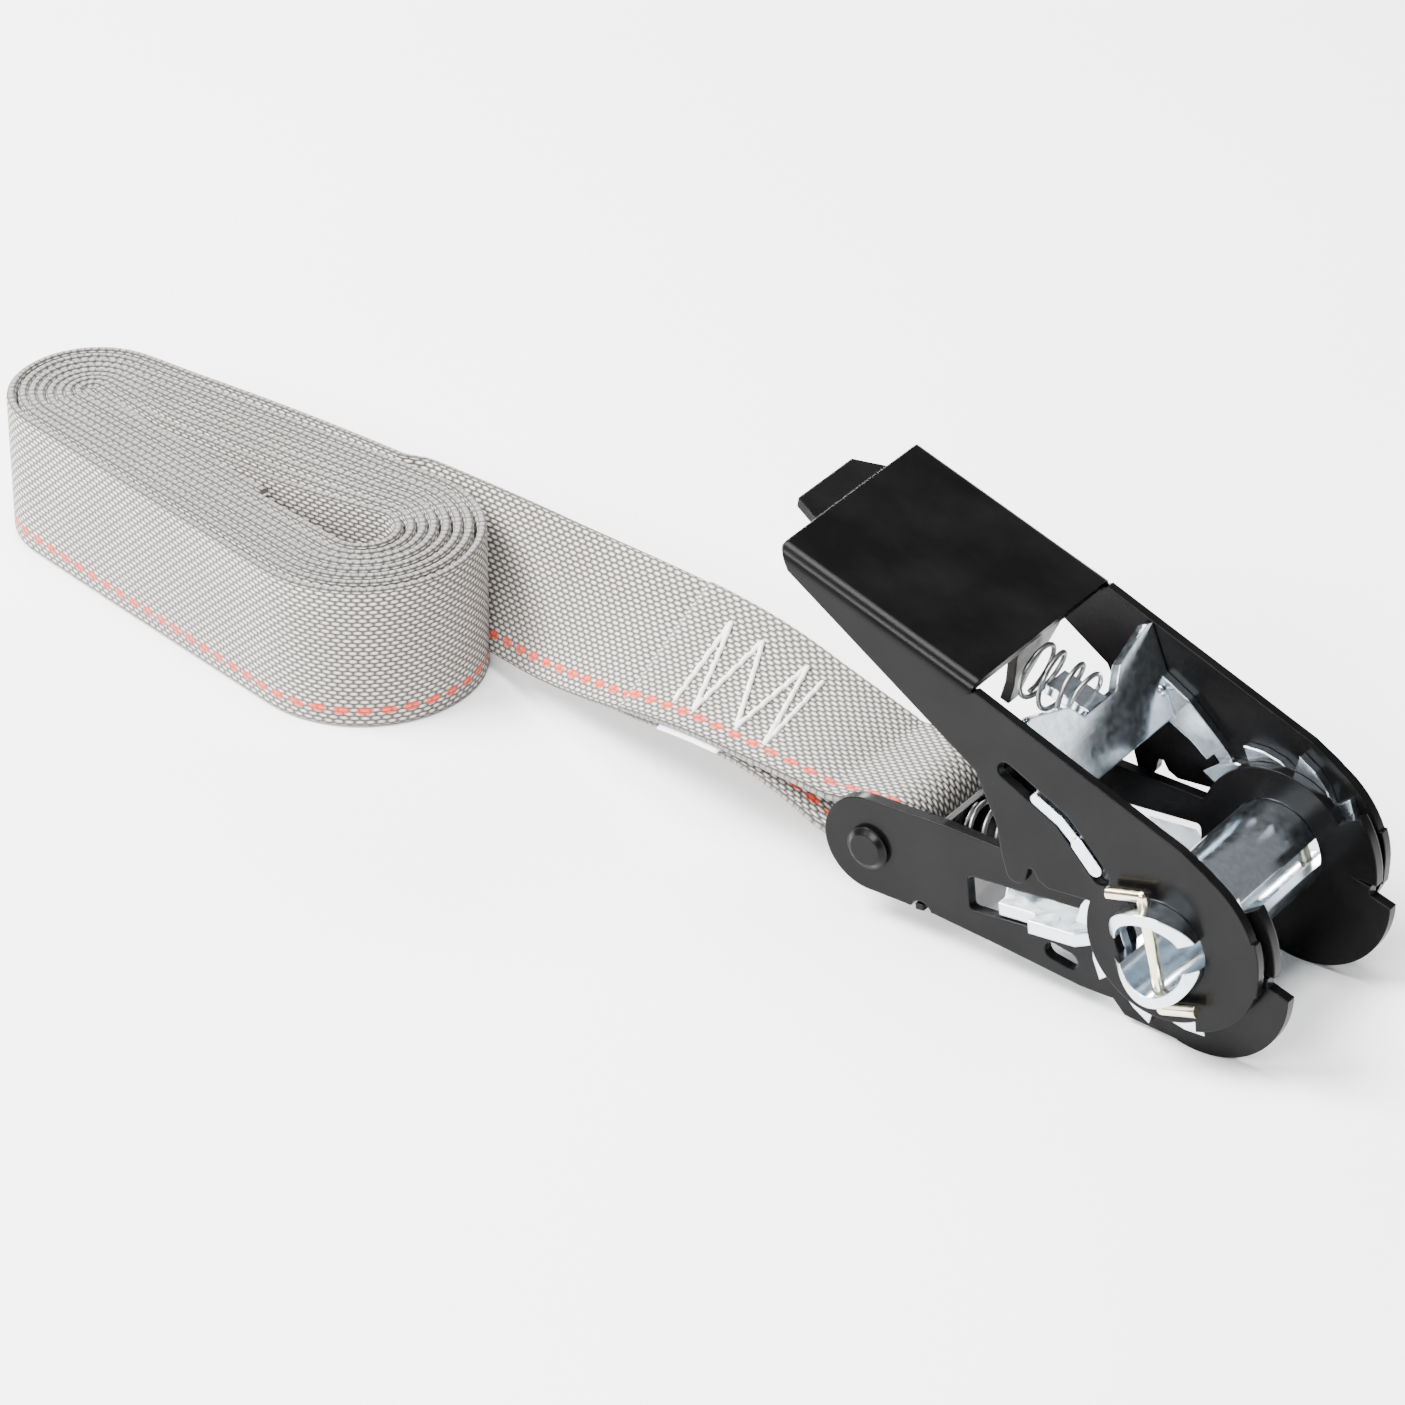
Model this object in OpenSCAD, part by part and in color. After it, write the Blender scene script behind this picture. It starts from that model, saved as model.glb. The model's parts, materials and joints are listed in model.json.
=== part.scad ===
// Ratchet tie down: a 25 mm webbing ratchet with its folding handle half open, and its strap in a coil.
// Millimetres, +Z up, +X towards the reel end. The origin is on the ground under the middle of the ratchet.
// Outlines of plates are drawn in a side plane whose origin is the reel's axis, and then stood upright.

/* [Strap] */
// Width of the webbing
strap_w = 25.4; // [24:0.1:26.4]
// Thickness of one layer of webbing
strap_t = 1.5; // [1:0.1:2]
// Radius of the coil's end next to the ratchet
coil_near_r = 21.5; // [18:0.5:23]
// Radius of the coil's far end
coil_far_r = 14.5; // [12:0.5:18]
// Distance between the centres of the coil's two ends, along X
coil_span = 57.5; // [50:0.5:80]

/* [Frame] */
// Distance from the reel's axis to the rear pin's axis
pin_span = 53.8; // [50:0.1:58]
// Clear width between the two base plates
inner_w = 27.2; // [27:0.1:29]
// Thickness of a base plate
base_t = 1.8; // [1.5:0.1:2]
// Radius of the base plate's foot, which the ratchet stands on
foot_r = 14.7; // [14:0.1:15]
// Angle by which the reel end is tipped up when the ratchet lies on the ground
pitch = 5.7; // [4:0.1:8]
// Travel of the locking latch when it lets the reel run back
latch_travel = 3.5; // [2:0.5:4]

/* [Reel] */
// Outer radius of the two mandrel halves
mandrel_r = 7.8; // [7.4:0.1:7.8]
// Gap between the mandrel halves, where the webbing is threaded
slot_gap = 4.4; // [3:0.1:5]
// Number of teeth on a ratchet wheel
teeth = 10; // [10:1:10]
// Radius at the tips of the teeth
tip_r = 15.8; // [15:0.1:15.8]
// Radius at the roots of the teeth
root_r = 12.3; // [11.5:0.1:12.5]
// Thickness of a ratchet wheel
wheel_t = 1.6; // [1.4:0.1:1.6]

/* [Handle] */
// Thickness of the handle's sheet
sheet_t = 1.6; // [1.4:0.1:1.8]
// Length of the grip plate
grip_len = 36.5; // [34:0.5:38]
// Slope of the grip plate as the handle stands
grip_tilt = 24.3; // [22:0.1:26]
// Length of the tongue that holds the pawl's spring
tongue_len = 15; // [12.5:0.5:15]

/* [Hidden] */
$fn = 64;

black = [0.13, 0.13, 0.14];
zinc = [0.72, 0.76, 0.8];
yellow_zinc = [0.82, 0.76, 0.6];
webbing = [0.78, 0.75, 0.71];

// Layers from the middle outwards: base plate, ratchet wheel, handle arm, with a small gap between them.
gap = 0.1;
base_y = inner_w / 2;
wheel_y = base_y + base_t + gap;
arm_y = wheel_y + wheel_t + gap;
handle_y = arm_y + sheet_t;

// The reel's axis: its X is such that the ratchet's box is centred on the origin, and its Z follows the foot.
foot_x = 5;
foot_z = -4.3;
axis_x = 26.5;
axis_z = foot_r - foot_x * sin(pitch) - foot_z * cos(pitch);

hole_r = mandrel_r + 0.1;
pin_r = 2.6;
sleeve_r = 4;
mandrel_t = 1.8;
mandrel_end = 23.5;
mandrel_end_r = 10;
slot_tilt = 8;
tip_angle = 112.3;
cotter_r = 0.95;
cotter_y = 20.6;

latch_top = -3.6;
latch_t = 2.2;
latch_front = -13.6;
latch_back = -33;
bracket_x = -46;
bracket_t = 1.4;
latch_spring_r = 4.6;
latch_spring_z = -2.6;
latch_peg = 4;

grip_front = [-30.1, 36];
bend_r = 2.4;
lip_len = 5.2;
wall_h = 3.2;
pawl_foot = [-18.8, 16.3];
pawl_lean = 16;
pawl_t = 1.6;
pawl_tongue = [-21.9, 25.9];
tongue_slope = 20;
slot_low = [-9.6, 9.1];
slot_bend = [-15.9, 17];
slot_high = [-25.3, 22.8];
slot_r = 1.5;
pawl_spring_r = 4.4;
spring_wire_r = 0.4;

// The strap's route from the coil to the rear pin: X from the reel's axis, Y, and Z above the ground.
route = [[-160, 18.4, 12.9], [-113, 6.7, 12.9], [-100, 2.8, 26], [-64, 0, 13.9]];
// Its twist along the route: 90 is standing on edge and 0 is lying flat.
twist = [80, 47, 35, 16, 0];
route_steps = 40;
overlap_start = 0.42;
overlap_full = 0.46;
loop_mouth = 7.6;
label_span = [0.42, 0.6];
coil_near = [-158, -2.5];
coil_far_y = 4.5;

function lerp(a, b, t) = a * (1 - t) + b * t;
function unit(v) = v / norm(v);
function bezier(p, t) = len(p) == 1
    ? p[0]
    : bezier([for (i = [0 : len(p) - 2]) lerp(p[i], p[i + 1], t)], t);
function polar(r, a) = [r * cos(a), r * sin(a)];
// Points along an arc; a1 under a0 runs it clockwise
function arc(c, r, a0, a1, n = 8) = [for (i = [0 : n]) c + polar(r, lerp(a0, a1, i / n))];
// A point of the side plane, measured back along the grip's top from its front edge, and down into it
function grip_at(back, depth) = grip_front + back * polar(1, 180 - grip_tilt) + depth * polar(1, 270 - grip_tilt);

// Stands the ratchet, drawn about the reel's axis, on the ground.
module placed() {
    translate([axis_x, 0, axis_z]) rotate([0, -pitch, 0]) children();
}

// Turns a side outline into a plate that spans y0 to y1.
module plate(y0, y1) {
    translate([0, y1, 0]) rotate([90, 0, 0]) linear_extrude(y1 - y0) children();
}

// A slot or bar with round ends between two points of the side plane.
module capsule(a, b, r) {
    d = b - a;
    translate(a) circle(r);
    translate(b) circle(r);
    translate(a) rotate(atan2(d[1], d[0])) translate([0, -r]) square([norm(d), 2 * r]);
}

// A window with rounded corners.
module window(x0, x1, z0, z1, r) {
    translate([x0 + r, z0]) square([x1 - x0 - 2 * r, z1 - z0]);
    translate([x0, z0 + r]) square([x1 - x0, z1 - z0 - 2 * r]);
    for (x = [x0 + r, x1 - r], z = [z0 + r, z1 - r]) translate([x, z]) circle(r);
}

// The part of a disc between two angles.
module sector(r, a0, a1) {
    far = 2 * r;
    intersection() {
        circle(r);
        polygon([[0, 0], polar(far, a0), polar(far, (a0 + a1) / 2), polar(far, a1)]);
    }
}

// A straight round rod between two points of the side plane, at depth y.
module rod(a, b, r, y) {
    d = b - a;
    translate([a[0], y, a[1]]) rotate([0, atan2(d[0], d[1]), 0]) cylinder(h = norm(d), r = r);
}

// A coil spring of round wire along +Z, with its first and last turns lying flat.
module coil_spring(r, wire_r, length, turns, sides = 8, per_turn = 20) {
    n = turns * per_turn;
    rise = [for (i = [0 : n]) let (t = i / per_turn)
        wire_r + (length - 2 * wire_r) * min(1, max(0, (t - 0.75) / (turns - 1.5)))];
    pts = [for (i = [0 : n], j = [0 : sides - 1])
        let (a = 360 * i / per_turn, b = 360 * j / sides, rr = r + wire_r * cos(b))
        [rr * cos(a), rr * sin(a), rise[i] + wire_r * sin(b)]];
    quads = [for (i = [0 : n - 1], j = [0 : sides - 1])
        let (k = (j + 1) % sides)
        [i * sides + j, i * sides + k, (i + 1) * sides + k, (i + 1) * sides + j]];
    walls = [for (q = quads) each [[q[0], q[1], q[2]], [q[0], q[2], q[3]]]];
    polyhedron(pts, concat(walls,
        [[for (j = [sides - 1 : -1 : 0]) j], [for (j = [0 : sides - 1]) n * sides + j]]));
}

module base_outline() {
    // Rear eye, around the rear pin
    translate([-pin_span, 0.3]) circle(8.1);
    // Tapering side wall, and the step up to the foot
    polygon([[-pin_span, -7.8], [-42.5, -8.8], [-31, -10.9], [-16.8, -13.7], [-12.1, -14.1],
             [-11, -14.1], [-9.1, -16.5], [1.5, -18.2], [4, -12], [0, 4], [-12.5, 4.7], [-31, 6.7],
             [-40, 7.7], [-pin_span, 8.4]]);
    // Head around the reel
    circle(13.1);
    // Raised track in front of the reel
    sector(17.6, -7, 30.5);
    // Foot, cut back to a stop above which the raised track ends in a notch
    intersection() {
        translate([foot_x, foot_z]) circle(foot_r);
        polygon([[0, -22], [22, -22], [22, -6.5], [16.2, -4.1], [16.3, -2.6], [0, 2]]);
    }
}

module base_plate() {
    plate(base_y, base_y + base_t) difference() {
        base_outline();
        circle(hole_r);
        translate([-pin_span, 0]) circle(pin_r);
        window(latch_back - latch_travel + 0.5, latch_front + 0.5, latch_top - latch_t - 0.2, 0, 0.8);
        capsule([-21.3, -9], [-18.5, -9.8], 1.5);
        // Notch for the bracket's foot
        translate([bracket_x + bracket_t / 2 + 0.2, -9.1]) circle(1.9);
    }
}

module base_plate_near() {
    color(black) placed() mirror([0, 1, 0]) base_plate();
}

module base_plate_far() {
    color(black) placed() base_plate();
}

module rear_pin() {
    head_y = base_y + base_t;
    color(black) placed() translate([-pin_span, 0, 0]) rotate([-90, 0, 0]) {
        translate([0, 0, -head_y]) cylinder(h = 2 * head_y, r = pin_r);
        for (s = [-1, 1]) scale([1, 1, s]) translate([0, 0, head_y]) {
            cylinder(h = 0.7, r = 3.6);
            translate([0, 0, 0.7]) cylinder(h = 0.7, r1 = 3.4, r2 = 2.6);
        }
    }
}

module pin_sleeve() {
    color(zinc) placed() translate([-pin_span, 0, 0]) rotate([-90, 0, 0])
        translate([0, 0, -base_y + 0.05]) difference() {
            cylinder(h = inner_w - 0.1, r = sleeve_r);
            translate([0, 0, -1]) cylinder(h = inner_w + 2, r = pin_r + 0.05);
        }
}

// Cross plate that the latch's spring pushes against, with a foot in each base plate's notch
module spring_bracket() {
    color(black) placed() {
        translate([bracket_x, -base_y + 0.1, -8.6]) cube([bracket_t, inner_w - 0.2, 11]);
        translate([bracket_x, -base_y - base_t, -8.8]) cube([bracket_t, inner_w + 2 * base_t, 1]);
        // Stub that keeps the spring centred
        translate([bracket_x + bracket_t, 0, latch_spring_z]) rotate([0, 90, 0]) cylinder(h = 3, r = 3);
    }
}

module locking_latch() {
    half = [[latch_back, 0], [latch_back, 9.5], [latch_back + 2, 13.2], [-31, 13.2], [-31, base_y + 1.3],
            [-24.4, base_y + 1.3], [-24.4, arm_y - 0.15], [-16.2, arm_y - 0.15], [latch_front, 14.9],
            [latch_front, 0]];
    color(zinc) placed() {
        for (s = [-1, 1]) scale([1, s, 1])
            translate([0, 0, latch_top - latch_t]) linear_extrude(latch_t) polygon(half);
        // Upturned seat for the spring, and a peg inside the spring's front end
        translate([latch_back, -5, latch_top - latch_t]) cube([1.4, 10, 6.8]);
        translate([latch_back - latch_peg, -1.5, latch_top - latch_t]) cube([latch_peg + 1, 3, latch_t]);
    }
}

module latch_spring() {
    length = latch_back - bracket_x - bracket_t;
    color(black) placed() translate([bracket_x + bracket_t, 0, latch_spring_z]) rotate([0, 90, 0])
        coil_spring(latch_spring_r, spring_wire_r, length, 6);
}

// A slot with round ends along the line a, b, c, which turns left at b
module bent_slot(a, b, c, r) {
    a0 = atan2(b[1] - a[1], b[0] - a[0]);
    a1 = atan2(c[1] - b[1], c[0] - b[0]);
    inner_corner = b + polar(r / cos((a1 - a0) / 2), (a0 + a1) / 2 + 90);
    polygon(concat(arc(a, r, a0 + 90, a0 + 270), arc(b, r, a0 + 270, a1 + 270, 3),
                   arc(c, r, a1 - 90, a1 + 90), [inner_corner]));
}

module arm_outline() {
    difference() {
        union() {
            // Long arm from the grip to the ear
            polygon([grip_at(35.5, 2.8), [-30.8, 21.4], [-27.6, 13.2], [-27.1, 8.3], [-26.5, 5.6],
                     [-22.9, 5.6], [-22.4, 7], [-21.6, 7], [-20.8, 5.4], [-19.2, 4.45], [-12, 4.45],
                     [0, 0], [12.3, 11.4], [8.7, 14.6], [4.9, 17.3], [-30, 34.8],
                     grip_at(1, 2.8)]);
            // Round tip of the locking hook
            translate([-24.7, 5.6]) circle(1.8);
            // Ear around the reel: small behind, wide in front
            circle(12.6);
            sector(16.8, -14, 80);
            intersection() {
                translate([2.4, 1.2]) circle(14.6);
                translate([5.6, -20]) square([20, 25]);
            }
        }
        circle(hole_r);
        bent_slot(slot_low, slot_bend, slot_high, slot_r);
    }
}

// Section of the grip across the handle: a sheet with a rounded bend down each side
module grip_section() {
    right = [handle_y - bend_r, -bend_r];
    left = [-right[0], -bend_r];
    inner_r = bend_r - sheet_t;
    polygon(concat([[handle_y, -wall_h]], arc(right, bend_r, 0, 90), arc(left, bend_r, 90, 180),
                   [[-handle_y, -wall_h], [-arm_y, -wall_h]],
                   arc(left, inner_r, 180, 90, 5), arc(right, inner_r, 90, 0, 5), [[arm_y, -wall_h]]));
}

module grip() {
    lip = [[-9.5, 0], [9.5, 0], [7, lip_len], [-7, lip_len]];
    tongue = [[-1.4, -tongue_len], [1.4, -tongue_len], [2, -11], [5.6, -2.6], [6, -0.8], [-6, -0.8],
              [-5.6, -2.6], [-2, -11]];
    translate([grip_front[0], 0, grip_front[1]]) rotate([0, grip_tilt, 0]) {
        rotate([90, 0, -90]) linear_extrude(grip_len) grip_section();
        // Rear lip, bent slightly down
        translate([-grip_len + 0.3, 0, 0]) rotate([0, -10, 0]) translate([0, 0, -sheet_t])
            linear_extrude(sheet_t) rotate(90) polygon(lip);
        // Tongue hanging from the front edge
        translate([-sheet_t - 0.1, 0, 0]) rotate([90, 0, 90]) linear_extrude(sheet_t) polygon(tongue);
    }
}

module handle() {
    color(black) placed() difference() {
        union() {
            for (s = [-1, 1]) scale([1, s, 1]) plate(arm_y, handle_y) arm_outline();
            grip();
        }
        // Rear corners of the arms lean forward
        for (s = [-1, 1]) scale([1, s, 1])
            plate(arm_y - 2, handle_y + 1) polygon([[-64, 43], [-61.9, 45.9], [-63.75, 51], [-72, 54], [-72, 46]]);
    }
}

// Sliding pawl: a web across the handle, a leg down each side that meets the ratchet wheel,
// a tongue inside the spring, and a key in each arm's slot
module handle_pawl() {
    side = arm_y - 0.1;
    half_w = side - 0.1;
    boss_at = [14.6, 4.8];
    boss_r = 1.1;
    web = [[-half_w, 0], [half_w, 0], [half_w, 14.9], [15.6, 15.2], [7, 12.6], [4.4, 9.7], [-4.4, 9.7],
           [-7, 12.6], [-15.6, 15.2], [-half_w, 14.9]];
    leg = [[-20.9, 16.6], [-18.4, 14.8], [-15.6, 13.1], [-12.7, 10.4], [-11.2, 11.9], [-9.5, 13.4],
           [-15.4, 19.8], [-21.4, 24]];
    key_dir = unit(slot_bend - slot_low);
    key = slot_low + 1.5 * key_dir;
    // The rib runs on up the slot, to one side of its bent part, so that it clears both walls as it slides
    rib_dir = unit(slot_high - slot_bend);
    rib_bend = slot_bend + 0.5 * [-rib_dir[1], rib_dir[0]];
    color(zinc) placed() {
        translate([pawl_foot[0], 0, pawl_foot[1]]) rotate([0, -pawl_lean, 0]) translate([-pawl_t / 2, 0, 0])
            rotate([90, 0, 90]) {
                linear_extrude(pawl_t) polygon(web);
                // Domed boss at the root of each wing
                for (s = [-1, 1]) translate([s * boss_at[0], boss_at[1], pawl_t - 0.45]) sphere(boss_r);
            }
        translate([pawl_tongue[0], 0, pawl_tongue[1]]) rotate([0, tongue_slope, 0])
            translate([-7, -2.5, -pawl_t]) cube([7.6, 5, pawl_t]);
        for (s = [-1, 1]) scale([1, s, 1]) {
            plate(wheel_y + 0.05, side) polygon(leg);
            plate(side + 0.05, handle_y + 0.2) capsule(key, key + 4.2 * key_dir, 1.2);
            plate(side - 0.4, handle_y - 0.1) bent_slot(key + 3 * key_dir, rib_bend, rib_bend + 5 * rib_dir, 0.9);
        }
    }
}

module pawl_spring() {
    start = 1.6;
    color(zinc) placed() translate([pawl_tongue[0], 0, pawl_tongue[1] - 0.8]) rotate([0, tongue_slope - 90, 0])
        translate([0, 0, start]) coil_spring(pawl_spring_r, spring_wire_r, 11 - start, 4);
}

function tooth(k) = let (tip = tip_angle + 360 * k / teeth)
    [polar(root_r, tip + 1.5), polar(tip_r, tip), polar(lerp(tip_r, root_r, 0.3), tip - 12),
     polar(lerp(tip_r, root_r, 0.65), tip - 24), polar(root_r, tip - 33)];

module ratchet_wheel() {
    plate(wheel_y, wheel_y + wheel_t) difference() {
        polygon([for (k = [teeth - 1 : -1 : 0]) each tooth(k)]);
        circle(mandrel_r + 0.02);
    }
}

module ratchet_wheel_near() {
    color(zinc) placed() mirror([0, 1, 0]) ratchet_wheel();
}

module ratchet_wheel_far() {
    color(zinc) placed() ratchet_wheel();
}

// One of the two half-round shells; up is 1 for the upper one and -1 for the lower one
module mandrel_half(up) {
    color(zinc) placed() rotate([0, -slot_tilt, 0]) scale([1, 1, up]) difference() {
        intersection() {
            plate(-mandrel_end, mandrel_end) difference() {
                circle(mandrel_r);
                circle(mandrel_r - mandrel_t);
                translate([-mandrel_r - 1, -2 * mandrel_r]) square([2 * mandrel_r + 2, 2 * mandrel_r + slot_gap / 2]);
            }
            // Rounded ends
            linear_extrude(mandrel_r + 1) {
                translate([-mandrel_end_r, -mandrel_end + mandrel_end_r])
                    square([2 * mandrel_end_r, 2 * (mandrel_end - mandrel_end_r)]);
                for (s = [-1, 1]) translate([0, s * (mandrel_end - mandrel_end_r)]) circle(mandrel_end_r);
            }
        }
        for (s = [-1, 1]) translate([0, s * cotter_y, 0]) cylinder(h = mandrel_r + 1, r = cotter_r + 0.1);
    }
}

module mandrel_half_upper() {
    mandrel_half(1);
}

module mandrel_half_lower() {
    mandrel_half(-1);
}

// Bent wire pin through both shells: a leg folded back above them and another folded forward below
module cotter_pin() {
    top = [0, mandrel_r + 0.6 + cotter_r];
    bottom = [0, -mandrel_r - 0.6 - cotter_r];
    rotate([0, -slot_tilt, 0]) {
        rod(bottom, top, cotter_r, cotter_y);
        rod(top, top + [-6, -0.2], cotter_r, cotter_y);
        rod(bottom, bottom + [6, 0.4], cotter_r, cotter_y);
        for (p = [top, bottom]) translate([p[0], cotter_y, p[1]]) sphere(cotter_r);
    }
}

module cotter_pin_near() {
    color(yellow_zinc) placed() mirror([0, 1, 0]) cotter_pin();
}

module cotter_pin_far() {
    color(yellow_zinc) placed() cotter_pin();
}

// Directions at a point of the route: along it, across the strap's width, and out of its face
function route_at(t) = let (p = bezier(route, t)) [p[0] + axis_x, p[1], p[2]];
function route_dir(t) = let (a = max(0, t - 0.01), b = min(1, t + 0.01)) unit(route_at(b) - route_at(a));
function width_dir(t) = let (d = route_dir(t), side = unit(cross([0, 0, 1], d)), up = cross(d, side),
    a = bezier(twist, t)) cos(a) * side + sin(a) * up;
function face_dir(t) = cross(route_dir(t), width_dir(t));
function strap_corner(t, w, n) = route_at(t) + w * width_dir(t) + n * face_dir(t);

// Sweeps a flat strip along the route: w0 and w1 are its edges across the strap, and the face offsets
// run from n0 to n1 at each step, as functions of the step's place t
module strip(t0, t1, steps, w0, w1, low, high) {
    ts = [for (i = [0 : steps]) lerp(t0, t1, i / steps)];
    pts = [for (i = [0 : steps]) each [
        strap_corner(ts[i], w0, low[i]), strap_corner(ts[i], w1, low[i]),
        strap_corner(ts[i], w1, high[i]), strap_corner(ts[i], w0, high[i])]];
    walls = [for (i = [0 : steps - 1], j = [0 : 3])
        let (k = (j + 1) % 4, a = 4 * i, b = 4 * i + 4)
        each [[a + j, b + j, b + k], [a + j, b + k, a + k]]];
    polyhedron(pts, concat(walls, [[0, 1, 2, 3], [for (j = [3 : -1 : 0]) 4 * steps + j]]));
}

// Thickness of the run: one layer, then two where it is sewn, then opening towards the pin
function run_half(t) = strap_t / 2 * (t < overlap_start ? 1
    : t < overlap_full ? lerp(1, 2, (t - overlap_start) / (overlap_full - overlap_start))
    : t < 0.82 ? 2
    : lerp(2, loop_mouth / strap_t, (t - 0.82) / 0.18));

module strap_run() {
    half = [for (i = [0 : route_steps]) run_half(i / route_steps)];
    color(webbing) strip(0, 1, route_steps, -strap_w / 2, strap_w / 2, -half, half);
}

// Blank label sewn under the near edge of the overlap
module strap_label() {
    steps = 6;
    under = [for (i = [0 : steps]) -run_half(lerp(label_span[0], label_span[1], i / steps)) - 0.4];
    color("white") strip(label_span[0], label_span[1], steps, -strap_w / 2 + 0.2, -strap_w / 2 + 6,
        [for (u = under) u - 0.4], under);
}

// End of the strap, passed around the rear pin's sleeve
module strap_loop() {
    eye = [axis_x - pin_span * cos(pitch), axis_z - pin_span * sin(pitch)];
    mouth = [route[3][0] + axis_x, route[3][2]];
    outer_r = sleeve_r + 0.1 + strap_t;
    color(webbing) plate(-strap_w / 2, strap_w / 2) difference() {
        union() {
            translate(eye) circle(outer_r);
            polygon([mouth + [0, loop_mouth / 2], mouth - [0, loop_mouth / 2],
                     eye + polar(outer_r, -98), eye + polar(outer_r, 98)]);
        }
        translate(eye) circle(sleeve_r + 0.1);
        polygon([mouth + [1, loop_mouth / 2 - strap_t], mouth - [-1, loop_mouth / 2 - strap_t],
                 eye + polar(sleeve_r + 0.1, -98), eye + polar(sleeve_r + 0.1, 98)]);
    }
}

// Envelope of the coiled strap, which stands on its edge
module strap_coil() {
    near = [coil_near[0] + axis_x, coil_near[1]];
    far = [near[0] - coil_span, coil_far_y];
    color(webbing) linear_extrude(strap_w) hull() {
        translate(near) circle(coil_near_r);
        translate(far) circle(coil_far_r);
    }
}

base_plate_near();
base_plate_far();
rear_pin();
pin_sleeve();
spring_bracket();
locking_latch();
latch_spring();
handle();
handle_pawl();
pawl_spring();
ratchet_wheel_near();
ratchet_wheel_far();
mandrel_half_upper();
mandrel_half_lower();
cotter_pin_near();
cotter_pin_far();
strap_loop();
strap_run();
strap_label();
strap_coil();
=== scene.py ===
# Ratchet tie down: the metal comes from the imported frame, and the webbing, springs and label are made here.
# Everything is in metres in the frame's own axes. Lengths are written in millimetres times MM.
import json
import math

import bpy
import numpy as np
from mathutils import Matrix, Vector


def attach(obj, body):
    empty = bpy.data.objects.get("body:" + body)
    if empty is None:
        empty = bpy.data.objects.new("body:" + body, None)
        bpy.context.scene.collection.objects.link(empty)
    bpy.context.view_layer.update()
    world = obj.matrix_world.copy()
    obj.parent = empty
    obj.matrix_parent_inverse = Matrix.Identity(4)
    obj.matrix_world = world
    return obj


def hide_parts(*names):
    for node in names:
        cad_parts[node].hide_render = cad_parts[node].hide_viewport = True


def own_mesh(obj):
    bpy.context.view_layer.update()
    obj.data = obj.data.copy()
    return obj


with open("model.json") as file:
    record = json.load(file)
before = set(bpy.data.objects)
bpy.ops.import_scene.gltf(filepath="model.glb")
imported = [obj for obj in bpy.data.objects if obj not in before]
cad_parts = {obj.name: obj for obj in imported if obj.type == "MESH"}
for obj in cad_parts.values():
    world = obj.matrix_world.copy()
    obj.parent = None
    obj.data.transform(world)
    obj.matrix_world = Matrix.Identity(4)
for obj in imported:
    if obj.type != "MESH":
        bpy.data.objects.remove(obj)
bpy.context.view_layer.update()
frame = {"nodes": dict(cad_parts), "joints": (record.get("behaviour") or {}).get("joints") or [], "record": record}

MM = 0.001
UP = np.array([0.0, 0.0, 1.0])
joints = {j["name"]: j for j in frame["joints"]}
REEL = np.array(joints["handle_swing"]["pos_m"])
# The ratchet's own directions: forward along its base plates, and up out of them
LATCH_AXIS = np.array(joints["latch_pull"]["axis"])
FORWARD = -LATCH_AXIS
OUT = np.array([-FORWARD[2], 0, FORWARD[0]])


def unit(v):
    return v / np.linalg.norm(v)


def side_plane(x, y, z):
    """A point given in the ratchet's side plane, in mm from the reel's axis."""
    return REEL + MM * (x * FORWARD + z * OUT) + np.array([0, y * MM, 0])


# ---------------------------------------------------------------- camera, light and floor

CAMERA_ELEVATION = math.radians(32.97)
CAMERA_HEADING = math.radians(54.33)
CAMERA_DISTANCE = 953.4 * MM
CAMERA_LENS = 165
# Where the picture's centre falls from the reel's centre, to the camera's right and up
AIM_RIGHT = -77.66 * MM
AIM_UP = 27.4 * MM


def make_camera():
    flat = np.array([-math.cos(CAMERA_HEADING), math.sin(CAMERA_HEADING), 0])
    right = np.array([math.sin(CAMERA_HEADING), math.cos(CAMERA_HEADING), 0])
    look = math.cos(CAMERA_ELEVATION) * flat - math.sin(CAMERA_ELEVATION) * UP
    up = math.sin(CAMERA_ELEVATION) * flat + math.cos(CAMERA_ELEVATION) * UP
    place = REEL + AIM_RIGHT * right + AIM_UP * up - CAMERA_DISTANCE * look
    data = bpy.data.cameras.new("camera")
    data.lens = CAMERA_LENS
    camera = bpy.data.objects.new("camera", data)
    camera.location = place
    camera.rotation_euler = Vector(look).to_track_quat("-Z", "Y").to_euler()
    bpy.context.scene.collection.objects.link(camera)
    bpy.context.scene.camera = camera


def area_light(name, place, power, size, target):
    data = bpy.data.lights.new(name, "AREA")
    data.energy = power
    data.shape = "RECTANGLE"
    data.size, data.size_y = size
    lamp = bpy.data.objects.new(name, data)
    lamp.location = place
    lamp.rotation_euler = (Vector(target) - Vector(place)).to_track_quat("-Z", "Y").to_euler()
    bpy.context.scene.collection.objects.link(lamp)


def make_studio():
    middle = (-0.06, 0, 0.02)
    area_light("key", (-0.6, -0.4, 0.95), 62, (0.6, 0.5), middle)
    area_light("overhead", (0, 0, 1.4), 26, (0.5, 0.5), middle)
    area_light("front_strip", (0.02, -0.9, 0.65), 16, (0.7, 0.16), middle)
    area_light("back_strip", (-0.9, 0.7, 0.45), 14, (0.6, 0.14), middle)
    world = bpy.data.worlds.new("studio")
    world.use_nodes = True
    background = world.node_tree.nodes["Background"]
    background.inputs["Color"].default_value = (0.95, 0.97, 1, 1)
    background.inputs["Strength"].default_value = 0.28
    bpy.context.scene.world = world
    bpy.ops.mesh.primitive_plane_add(size=6, location=(0, 0, 0))
    floor = bpy.context.object
    floor.name = "floor"
    floor.data.materials.append(floor_material())


# ---------------------------------------------------------------- material helpers


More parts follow.
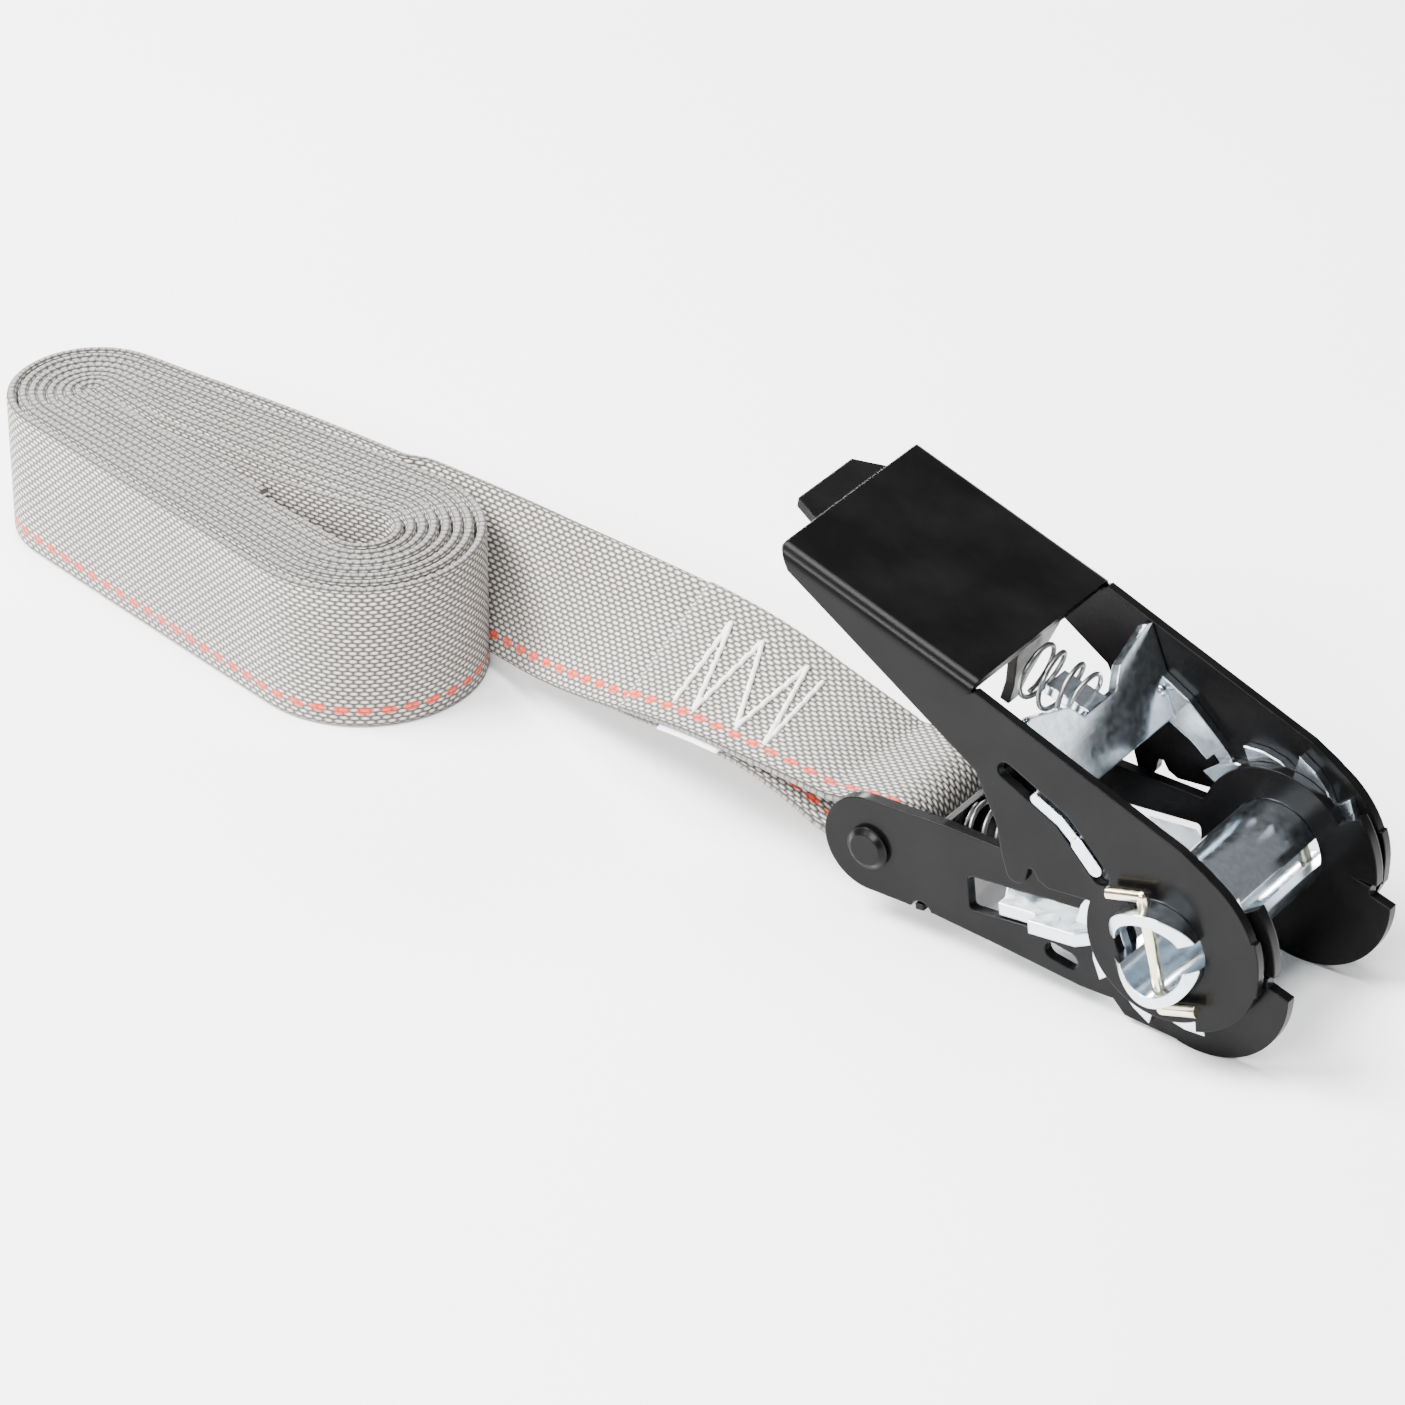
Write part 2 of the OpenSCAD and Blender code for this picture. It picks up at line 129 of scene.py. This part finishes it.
class Nodes:
    """A short way to write a material's nodes."""

    def __init__(self, name, roughness=0.5, metallic=0.0):
        self.material = bpy.data.materials.new(name)
        self.material.use_nodes = True
        self.tree = self.material.node_tree
        self.shader = self.tree.nodes["Principled BSDF"]
        self.shader.inputs["Roughness"].default_value = roughness
        self.shader.inputs["Metallic"].default_value = metallic

    def add(self, kind, links=None, **settings):
        node = self.tree.nodes.new(kind)
        for key, value in settings.items():
            setattr(node, key, value)
        for socket, value in (links or {}).items():
            self.put(node, socket, value)
        return node

    def put(self, node, socket, value):
        if isinstance(value, bpy.types.NodeSocket):
            self.tree.links.new(value, node.inputs[socket])
        elif isinstance(value, bpy.types.Node):
            self.tree.links.new(value.outputs[0], node.inputs[socket])
        else:
            node.inputs[socket].default_value = value

    def math(self, operation, a, b=0.0, c=0.0):
        return self.add("ShaderNodeMath", {0: a, 1: b, 2: c}, operation=operation)

    def noise(self, scale, detail=3.0, roughness=0.5, vector=None):
        vector = vector or self.add("ShaderNodeTexCoord").outputs["Object"]
        links = {"Vector": vector, "Scale": scale, "Detail": detail, "Roughness": roughness}
        return self.add("ShaderNodeTexNoise", links)

    def ramp(self, fac, stops):
        node = self.add("ShaderNodeValToRGB", {"Fac": fac})
        elements = node.color_ramp.elements
        while len(elements) < len(stops):
            elements.new(0.5)
        for element, (place, colour) in zip(elements, stops):
            element.position = place
            element.color = colour if len(colour) == 4 else (*colour, 1)
        return node

    def mix(self, fac, a, b):
        return self.add("ShaderNodeMix", {"Factor": fac, 6: a, 7: b}, data_type="RGBA").outputs[2]

    def bump(self, height, strength, distance, normal=None):
        links = {"Height": height, "Strength": strength, "Distance": distance}
        if normal is not None:
            links["Normal"] = normal
        return self.add("ShaderNodeBump", links)

    def finish(self, **inputs):
        for socket, value in inputs.items():
            self.put(self.shader, socket.replace("_", " "), value)
        return self.material


def grey(v, tint=(1, 1, 1)):
    return tuple(v * t for t in tint) + (1,)


# ---------------------------------------------------------------- materials


def floor_material():
    n = Nodes("floor_paper", roughness=0.85)
    tone = n.ramp(n.noise(6), [(0.3, grey(0.9)), (0.7, grey(0.94))])
    return n.finish(Base_Color=tone)


def black_steel():
    """Satin black coating: a fine orange peel, a little dust, and edges rounded by the bevel node."""
    n = Nodes("black_coating")
    dark, light = grey(0.002, (1, 0.98, 1.05)), grey(0.005, (1, 0.97, 0.98))
    tone = n.ramp(n.noise(90, 5), [(0.35, dark), (0.75, light)])
    rough = n.ramp(n.noise(420, 4), [(0.3, grey(0.23)), (0.75, grey(0.27))])
    n.shader.inputs["Specular IOR Level"].default_value = 0.1
    edge = n.add("ShaderNodeBevel", {"Radius": 0.35 * MM}, samples=6)
    peel = n.bump(n.noise(2600, 2), 0.12, 0.05 * MM, edge)
    return n.finish(Base_Color=tone, Roughness=rough, Normal=peel)


def zinc_steel(name="bright_zinc", low=(0.6, 0.67, 0.73), high=(0.72, 0.78, 0.83), bevel=0.35):
    """Bright zinc plate: cloudy bluish metal with faint drawing lines."""
    n = Nodes(name, metallic=1.0)
    tone = n.ramp(n.noise(900, 4), [(0.3, low), (0.7, high)])
    rough = n.ramp(n.noise(700, 4), [(0.3, grey(0.14)), (0.75, grey(0.26))])
    edge = n.add("ShaderNodeBevel", {"Radius": bevel * MM}, samples=4)
    coords = n.add("ShaderNodeTexCoord").outputs["Object"]
    stretch = n.add("ShaderNodeMapping", {"Vector": coords, "Scale": (1, 0.08, 1)})
    lines = n.bump(n.noise(3200, 3, vector=stretch.outputs[0]), 0.1, 0.04 * MM, edge)
    return n.finish(Base_Color=tone, Roughness=rough, Normal=lines)


def spring_steel():
    """Dark oiled wire."""
    n = Nodes("spring_wire", metallic=1.0)
    tone = n.ramp(n.noise(300, 4), [(0.3, grey(0.12)), (0.7, grey(0.3))])
    rough = n.ramp(n.noise(400, 3), [(0.3, grey(0.25)), (0.7, grey(0.4))])
    return n.finish(Base_Color=tone, Roughness=rough, Normal=n.bump(n.noise(2500, 2), 0.1, 0.03 * MM))


FLOAT_LENGTH = 1.65
ROW_PITCH = 0.76
TRACER_FROM_EDGE = 3.0
TRACER_PITCH = 3.7
TRACER_HALF_WIDTH = 0.72
KNOT_PITCH = 1.2
STRAND_PITCH = 0.11


def webbing():
    """Woven webbing: rows of warp floats laid like bricks, with painted shade between the floats and a painted
    highlight on their tops, a dark selvedge with painted shade in its crevice, and an orange tracer.
    """
    n = Nodes("webbing_weave", roughness=0.72)
    along = n.add("ShaderNodeAttribute", attribute_name="along").outputs["Fac"]
    across = n.add("ShaderNodeAttribute", attribute_name="across").outputs["Fac"]
    row = n.math("DIVIDE", across, ROW_PITCH * MM)
    row_start = n.math("FLOOR", row)
    shift = n.math("MULTIPLY", row_start, 0.5)
    along_row = n.math("ADD", n.math("DIVIDE", along, FLOAT_LENGTH * MM), shift)
    wave_along = n.math("ABSOLUTE", n.math("SINE", n.math("MULTIPLY", along_row, math.pi)))
    wave_across = n.math("SINE", n.math("MULTIPLY", n.math("FRACT", row), math.pi))
    float_height = n.math("POWER", n.math("MULTIPLY", wave_along, wave_across), 0.8)
    # Fine filaments along each float
    strands = n.math("SINE", n.math("MULTIPLY", across, 2 * math.pi / (STRAND_PITCH * MM)))
    height = n.math("ADD", float_height, n.math("MULTIPLY", strands, 0.05))
    # The cloth's colour follows the float height: painted shade in the crevices between the floats, painted
    # highlight on the float tops
    cloth = n.ramp(float_height, [(0.12, (0.022, 0.019, 0.015)), (0.5, (0.2, 0.178, 0.155)),
                                  (0.88, (0.8, 0.765, 0.72))])
    # The selvedge: painted shade in a crevice beside each face, and small grey knots along the middle
    edge_place = n.math("SUBTRACT", n.math("ABSOLUTE", across), STRAP_W / 2 * MM)
    knots = n.math("ABSOLUTE", n.math("SINE", n.math("MULTIPLY", along, math.pi / (KNOT_PITCH * MM))))
    knot_tone = n.ramp(knots, [(0.1, (0.04, 0.036, 0.033)), (0.7, (0.26, 0.24, 0.23))])
    crevice_shade = n.math("DIVIDE", n.math("SUBTRACT", edge_place, 0.22 * MM), 0.25 * MM)
    beyond_crevice_shade = n.math("MINIMUM", n.math("MAXIMUM", crevice_shade, 0.0), 1.0)
    edge_tone = n.mix(beyond_crevice_shade, (0.012, 0.01, 0.009, 1), knot_tone.outputs[0])
    on_edge = n.math("MINIMUM", n.math("MAXIMUM", n.math("DIVIDE", edge_place, 0.2 * MM), 0.0), 1.0)
    cloth = n.mix(on_edge, cloth.outputs[0], edge_tone)
    soil = n.ramp(n.noise(60, 4), [(0.3, grey(0.86, (1, 0.985, 0.96))), (0.7, grey(1.0))])
    mottled = n.add("ShaderNodeMix", {"Factor": 1.0, 6: cloth, 7: soil}, data_type="RGBA",
                    blend_type="MULTIPLY").outputs[2]
    # The tracer: orange dashes about two rows wide, near one edge
    tracer_at = (TRACER_FROM_EDGE - STRAP_W / 2) * MM
    off_row = n.math("ABSOLUTE", n.math("SUBTRACT", across, tracer_at))
    in_row = n.math("SUBTRACT", 1.0, n.math("DIVIDE", off_row, TRACER_HALF_WIDTH * MM))
    dash = n.math("COSINE", n.math("MULTIPLY", along, 2 * math.pi / (TRACER_PITCH * MM)))
    amount = n.math("MULTIPLY", n.math("ADD", in_row, n.math("MULTIPLY", dash, 0.9)), 2.2)
    mask = n.math("MULTIPLY", n.math("GREATER_THAN", in_row, 0.0),
                  n.math("MINIMUM", n.math("MAXIMUM", amount, 0.0), 1.0))
    # The tracer's orange also follows the float height: painted shade between the floats, painted highlight on
    # their tops
    orange = n.ramp(float_height, [(0.1, (0.3, 0.02, 0.003)), (0.6, (0.85, 0.06, 0.006))])
    colour = n.mix(mask, mottled, orange.outputs[0])
    n.shader.inputs["Sheen Weight"].default_value = 0.25
    return n.finish(Base_Color=colour, Normal=n.bump(height, 1.0, 0.4 * MM))


def thread():
    n = Nodes("sewing_thread", roughness=0.6)
    tone = n.ramp(n.noise(900, 3), [(0.3, (0.72, 0.7, 0.67)), (0.7, (0.92, 0.91, 0.88))])
    return n.finish(Base_Color=tone, Normal=n.bump(n.noise(3500, 2), 0.4, 0.08 * MM))


def label_tape():
    n = Nodes("label_satin", roughness=0.4)
    tone = n.ramp(n.noise(500, 3), [(0.3, (0.72, 0.72, 0.82)), (0.7, (0.86, 0.86, 0.93))])
    return n.finish(Base_Color=tone, Normal=n.bump(n.noise(5000, 2), 0.2, 0.04 * MM))


# ---------------------------------------------------------------- the strap's route

STRAP_W = 25.4
STRAP_T = 1.5
# As in the design: X from the reel's axis, Y, and Z above the ground, and the twist, 90 on edge and 0 flat
ROUTE = np.array([[-160, 18.4, 12.9], [-113, 6.7, 12.9], [-100, 2.8, 26], [-64, 0, 13.9]], float)
TWIST = np.array([80, 47, 35, 16, 0], float)
OVERLAP_START = 0.525
OVERLAP_FULL = 0.56
MOUTH_START = 0.82
LAYER_APART = 0.9
MOUTH_APART = 3.0
EYE = side_plane(-53.8, 0, 0)
EYE_R = 4.9
SAMPLE = 1.2

COIL_NEAR = np.array([-160.5, -2.5])
COIL_HEADING = math.atan2(7.5, -62.5)
COIL_SPAN = math.hypot(62.5, 7.5)
NEAR_R = 21.5 - STRAP_T / 2
FAR_R = 14.5 - STRAP_T / 2
NEAR_PITCH = 1.88
FAR_PITCH = 1.52
WHOLE_TURNS = 8
# Shares of a turn taken by the front side, the far end, the back side and the near end
TURN_SHARES = [0.3, 0.16, 0.3, 0.24]
COIL_START = 0.09
# How far the innermost turn's back side leans in on the strap's end, in mm, and the layers that lean with it
PINCH = 3.4
PINCH_FROM = 2.0
COIL_END = WHOLE_TURNS + sum(TURN_SHARES[:3])


def bezier(points, t):
    while len(points) > 1:
        points = points[:-1] * (1 - t) + points[1:] * t
    return points[0]


def ramp_between(t, low, high):
    return min(1.0, max(0.0, (t - low) / (high - low)))


def polar(r, angle):
    return r * np.array([math.cos(angle), math.sin(angle)])


def layers_in(turn):
    """How many layers lie outside the strap at this turn of the coil. The gaps between them vary a little."""
    left = COIL_END - turn
    if left < 1:
        return left * left
    return left + 0.04 * math.sin(2 * (left - 1))


def coil_point(turn):
    """A point of the coil's centreline in plan, in mm from the reel's axis, going clockwise and outwards."""
    layers = layers_in(turn)
    near_r = NEAR_R - NEAR_PITCH * layers
    far_r = max(STRAP_T / 2, FAR_R - FAR_PITCH * layers)
    near = COIL_NEAR
    far = near + polar(COIL_SPAN, COIL_HEADING)
    lean = math.acos((near_r - far_r) / COIL_SPAN)
    front, back = COIL_HEADING + lean, COIL_HEADING - lean
    place = turn % 1
    for part, share in enumerate(TURN_SHARES):
        if place <= share:
            break
        place -= share
    t = place / share
    if part == 0:
        return (near + polar(near_r, front)) * (1 - t) + (far + polar(far_r, front)) * t
    if part == 1:
        return far + polar(far_r, front + (back - front) * t)
    if part == 2:
        lean_in = PINCH * (max(0.0, layers - PINCH_FROM) / (WHOLE_TURNS - PINCH_FROM)) ** 1.3
        lean_in *= ramp_between(t, 0, 0.25) * (1 - ramp_between(t, 0.62, 1.0) ** 1.5)
        near_r -= lean_in / max(t, 0.01)
        return (far + polar(far_r, back)) * (1 - t) + (near + polar(near_r, back)) * t
    return near + polar(near_r, back + (front - 2 * math.pi - back) * t)


def coil_path():
    """Centreline and lean of the coiled stretch, from the strap's free end to the run."""
    steps = 90
    path = []
    count = int((COIL_END - COIL_START) * steps)
    for k in range(count):
        turn = COIL_START + k / steps
        x, y = coil_point(turn)
        wander = 0.16 * math.sin(5.3 * turn + 0.6) + 0.1 * math.sin(12.7 * turn)
        lean = 90 - 10 * ramp_between(turn, COIL_END - 0.25, COIL_END)
        path.append(([x, y, STRAP_W / 2 + 0.3 + wander], lean))
    return path[:-6]


def route_point(t):
    return bezier(ROUTE, t)


def route_frame(t):
    """Point, width direction and face direction of the strap's middle on its run, as in the design."""
    a, b = max(0.0, t - 0.01), min(1.0, t + 0.01)
    direction = unit(route_point(b) - route_point(a))
    width = width_direction(direction, bezier(TWIST, t))
    return route_point(t), width, np.cross(direction, width)


def width_direction(direction, twist):
    side = unit(np.cross(UP, direction))
    up = np.cross(direction, side)
    angle = math.radians(twist)
    return math.cos(angle) * side + math.sin(angle) * up


def layer_offset(t):
    """How far a layer lies from the run's middle surface."""
    sewn = LAYER_APART * ramp_between(t, OVERLAP_START - 0.03, OVERLAP_FULL)
    return sewn + (MOUTH_APART - sewn) * ramp_between(t, MOUTH_START, 1.0) ** 1.5


def resample(points, widths, step):
    """The same route with points a step apart."""
    points, widths = np.array(points, float), np.array(widths, float)
    lengths = np.concatenate([[0], np.cumsum(np.linalg.norm(np.diff(points, axis=0), axis=1))])
    count = int(lengths[-1] / step)
    at = np.linspace(0, lengths[-1], count + 1)
    pick = lambda data: np.stack([np.interp(at, lengths, data[:, k]) for k in range(3)], axis=1)
    return pick(points), pick(widths)


def smooth(points, low, high, passes):
    """Rounds off the points from low to high, and leaves the rest."""
    for _ in range(passes):
        middle = points.copy()
        middle[1:-1] = (points[:-2] + 2 * points[1:-1] + points[2:]) / 4
        points[low:high] = middle[low:high]
    return points


def strap_route():
    """Points and width directions of the whole strap, from its free end in the coil, round the rear pin and
    back to the sewn end. In metres."""
    points, widths = [], []
    coil = coil_path()
    for k, (p, lean) in enumerate(coil):
        after = coil[min(k + 1, len(coil) - 1)][0]
        before = coil[max(k - 1, 0)][0]
        direction = unit(np.array(after) - np.array(before))
        points.append(p)
        widths.append(width_direction(direction * [1, 1, 0], lean))
    join = len(points)
    for t in np.linspace(0.06, 1, 90):
        p, width, face = route_frame(t)
        points.append(p - layer_offset(t) * face)
        widths.append(width)
    eye = (EYE - REEL) / MM + [0, 0, REEL[2] / MM]
    for angle in np.radians(np.linspace(-100, 100, 25)):
        points.append(eye + EYE_R * np.array([math.cos(angle), 0, math.sin(angle)]))
        widths.append([0, 1, 0])
    for t in np.linspace(1, OVERLAP_START, 60):
        p, width, face = route_frame(t)
        points.append(p + max(LAYER_APART, layer_offset(t)) * face)
        widths.append(width)
    points = np.array(points, float)
    smooth(points, join - 14, join + 14, 60)
    points, widths = resample(points, widths, SAMPLE)
    points[:, 0] += REEL[0] / MM
    return points * MM, widths


# ---------------------------------------------------------------- meshes


def new_piece(name, verts, faces, material):
    mesh = bpy.data.meshes.new(name)
    mesh.from_pydata([tuple(v) for v in verts], [], faces)
    mesh.validate()
    mesh.polygons.foreach_set("use_smooth", [True] * len(mesh.polygons))
    mesh.materials.append(material)
    piece = bpy.data.objects.new(name, mesh)
    bpy.context.scene.collection.objects.link(piece)
    return piece


def ribbon_section(width, thickness, edge=0.5, across_steps=7, edge_steps=5):
    """The strap's section as (across, out, printed across): flat faces with a rounded selvedge each side."""
    half, flat = thickness / 2, width / 2 - edge
    section = [(w, half, w) for w in np.linspace(-flat, flat, across_steps)]
    for a in np.linspace(90, -90, edge_steps + 2)[1:-1]:
        reach = flat + edge * math.cos(math.radians(a))
        height = half * math.sin(math.radians(a))
        section.append((reach, height, flat + edge + half - abs(height)))
    section += [(w, -half, w) for w in np.linspace(flat, -flat, across_steps)]
    for a in np.linspace(-90, 90, edge_steps + 2)[1:-1]:
        reach = flat + edge * math.cos(math.radians(a))
        height = half * math.sin(math.radians(a))
        section.append((-reach, height, -(flat + edge + half - abs(height))))
    return section


def ribbon(name, points, widths, section, material):
    """Sweeps a section, in mm, along points with given width directions, and stores where each vertex is
    along and across the strap."""
    tangents = np.gradient(points, axis=0)
    verts, along, across = [], [], []
    travelled = 0.0
    for k, (p, width) in enumerate(zip(points, widths)):
        if k:
            travelled += np.linalg.norm(p - points[k - 1])
        tangent = unit(tangents[k])
        width = unit(width - tangent * np.dot(width, tangent))
        face = np.cross(tangent, width)
        for w, n, printed in section:
            verts.append(p + MM * (w * width + n * face))
            along.append(travelled)
            across.append(printed * MM)
    ring, rings = len(section), len(points)
    faces = []
    for k in range(rings - 1):
        for j in range(ring):
            a, b = k * ring + j, k * ring + (j + 1) % ring
            faces.append((a, a + ring, b + ring, b))
    faces.append(tuple(range(ring)))
    faces.append(tuple((rings - 1) * ring + j for j in range(ring - 1, -1, -1)))
    piece = new_piece(name, verts, faces, material)
    for key, values in (("along", along), ("across", across)):
        piece.data.attributes.new(key, "FLOAT", "POINT").data.foreach_set("value", values)
    return piece


def tube(name, points, radius, material, sides=10):
    """A round tube along points in metres, with closed ends."""
    points = np.array(points, float)
    tangents = np.gradient(points, axis=0)
    verts, faces = [], []
    normal = unit(np.cross(tangents[0], UP if abs(unit(tangents[0])[2]) < 0.9 else [1, 0, 0]))
    for p, tangent in zip(points, tangents):
        tangent = unit(tangent)
        normal = unit(normal - tangent * np.dot(normal, tangent))
        other = np.cross(tangent, normal)
        for j in range(sides):
            a = 2 * math.pi * j / sides
            verts.append(p + radius * (math.cos(a) * normal + math.sin(a) * other))
    for k in range(len(points) - 1):
        for j in range(sides):
            a, b = k * sides + j, k * sides + (j + 1) % sides
            faces.append((a, b, b + sides, a + sides))
    faces.append(tuple(range(sides - 1, -1, -1)))
    faces.append(tuple((len(points) - 1) * sides + j for j in range(sides)))
    return new_piece(name, verts, faces, material)


# ---------------------------------------------------------------- the soft pieces


def make_strap(cloth):
    points, widths = strap_route()
    strap = ribbon("strap", points, widths, ribbon_section(STRAP_W, STRAP_T), cloth)
    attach(strap, "base")
    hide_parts("strap_coil", "strap_run", "strap_loop")
    length = float(np.sum(np.linalg.norm(np.diff(points, axis=0), axis=1)))
    return strap, length


def on_top_layer(t, across, rise):
    p, width, face = route_frame(t)
    place = p + across * width + (LAYER_APART + STRAP_T / 2 + rise) * face
    return (place + [REEL[0] / MM, 0, 0]) * MM


# The sewn W, as places on the overlap: share of the route, and distance across the strap
SEAM_CORNERS = [(0.645, -8.5), (0.62, 8), (0.70, -9), (0.70, 7.5),
                (0.80, -8.5), (0.80, 8), (0.865, -9), (0.84, 7.5)]
STITCH = 2.6
THREAD_RADIUS = 0.42


def make_stitching(material):
    """A W of lockstitches through the overlap. Each stitch rises out of the cloth and dips back into it."""
    points = []
    for (t0, w0), (t1, w1) in zip(SEAM_CORNERS[:-1], SEAM_CORNERS[1:]):
        length = np.linalg.norm(on_top_layer(t1, w1, 0) - on_top_layer(t0, w0, 0)) / MM
        stitches = max(2, round(length / STITCH))
        steps = stitches * 8
        for k in range(steps):
            s = k / steps
            rise = 0.42 * abs(math.sin(math.pi * s * stitches)) ** 0.5 - 0.12
            points.append(on_top_layer(t0 + (t1 - t0) * s, w0 + (w1 - w0) * s, rise))
    seam = tube("stitching", points, THREAD_RADIUS * MM, material, sides=8)
    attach(seam, "base")
    return seam


LABEL_SPAN = (0.64, 0.8)
LABEL_ACROSS = (-13.4, -8.5)


def make_label(material):
    """Blank label sewn in between the two layers, its folded edge just showing along the near side."""
    points, widths = [], []
    middle = sum(LABEL_ACROSS) / 2
    for t in np.linspace(*LABEL_SPAN, 16):
        p, width, face = route_frame(t)
        points.append((p + middle * width + [REEL[0] / MM, 0, 0]) * MM)
        widths.append(width)
    section = ribbon_section(LABEL_ACROSS[1] - LABEL_ACROSS[0], 0.28, edge=0.14, across_steps=4)
    label = ribbon("label", np.array(points), np.array(widths), section, material)
    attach(label, "base")
    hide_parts("strap_label")
    return label


# ---------------------------------------------------------------- springs


def spring(name, start, axis, radius, wire, length, turns, material):
    """A wire spring along an axis, with closed end turns. Sizes in mm."""
    across = unit(np.cross(axis, [0, 1, 0]))
    other = np.cross(axis, across)
    points = []
    for k in range(int(turns * 28) + 1):
        t = k / 28
        rise = wire + (length - 2 * wire) * min(1, max(0, (t - 0.75) / (turns - 1.5)))
        turn = 2 * math.pi * t
        round_it = math.cos(turn) * across + math.sin(turn) * other
        points.append(start + MM * (rise * axis + radius * round_it))
    return tube(name, points, wire * MM, material)


# Latch spring: its foot on the base, in the side plane, and its length
LATCH_SPRING_FOOT = (-44.6, 0, -2.6)
LATCH_SPRING_LENGTH = 11.6
# Pawl spring: its seat on the handle, the slope it stands at, the gap to its first turn, and its length
PAWL_SPRING_SEAT = (-21.9, 0, 25.1)
PAWL_SPRING_SLOPE = math.radians(20)
PAWL_SPRING_GAP = 1.6
PAWL_SPRING_LENGTH = 9.4
WIRE_RADIUS = 0.4


def make_springs(material):
    foot = side_plane(*LATCH_SPRING_FOOT)
    latch = spring("latch_spring_wire", foot, FORWARD, 4.6, WIRE_RADIUS, LATCH_SPRING_LENGTH, 6, material)
    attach(latch, "base")
    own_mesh(latch)
    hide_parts("latch_spring")
    axis = -math.cos(PAWL_SPRING_SLOPE) * FORWARD + math.sin(PAWL_SPRING_SLOPE) * OUT
    foot = side_plane(*PAWL_SPRING_SEAT) + PAWL_SPRING_GAP * MM * axis
    pawl = spring("pawl_spring_wire", foot, axis, 4.4, WIRE_RADIUS, PAWL_SPRING_LENGTH, 4, material)
    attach(pawl, "handle")
    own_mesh(pawl)
    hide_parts("pawl_spring")


def paint(materials):
    """Gives each of the frame's own nodes its finish."""
    for part in frame["record"]["subparts"]:
        node = frame["nodes"][part["node"]]
        finish = materials.get(part["material_slot"])
        if finish is None:
            continue
        node.data.materials.clear()
        node.data.materials.append(finish)


make_camera()
make_studio()
cloth = webbing()
wire = spring_steel()
paint({
    "black_steel": black_steel(),
    "zinc_steel": zinc_steel(),
    "yellow_zinc": zinc_steel("yellow_zinc_plate", (0.72, 0.64, 0.44), (0.86, 0.79, 0.6), 0.1),
    "spring_steel": wire,
})
strap, strap_length = make_strap(cloth)
stitching = make_stitching(thread())
label = make_label(label_tape())
make_springs(wire)
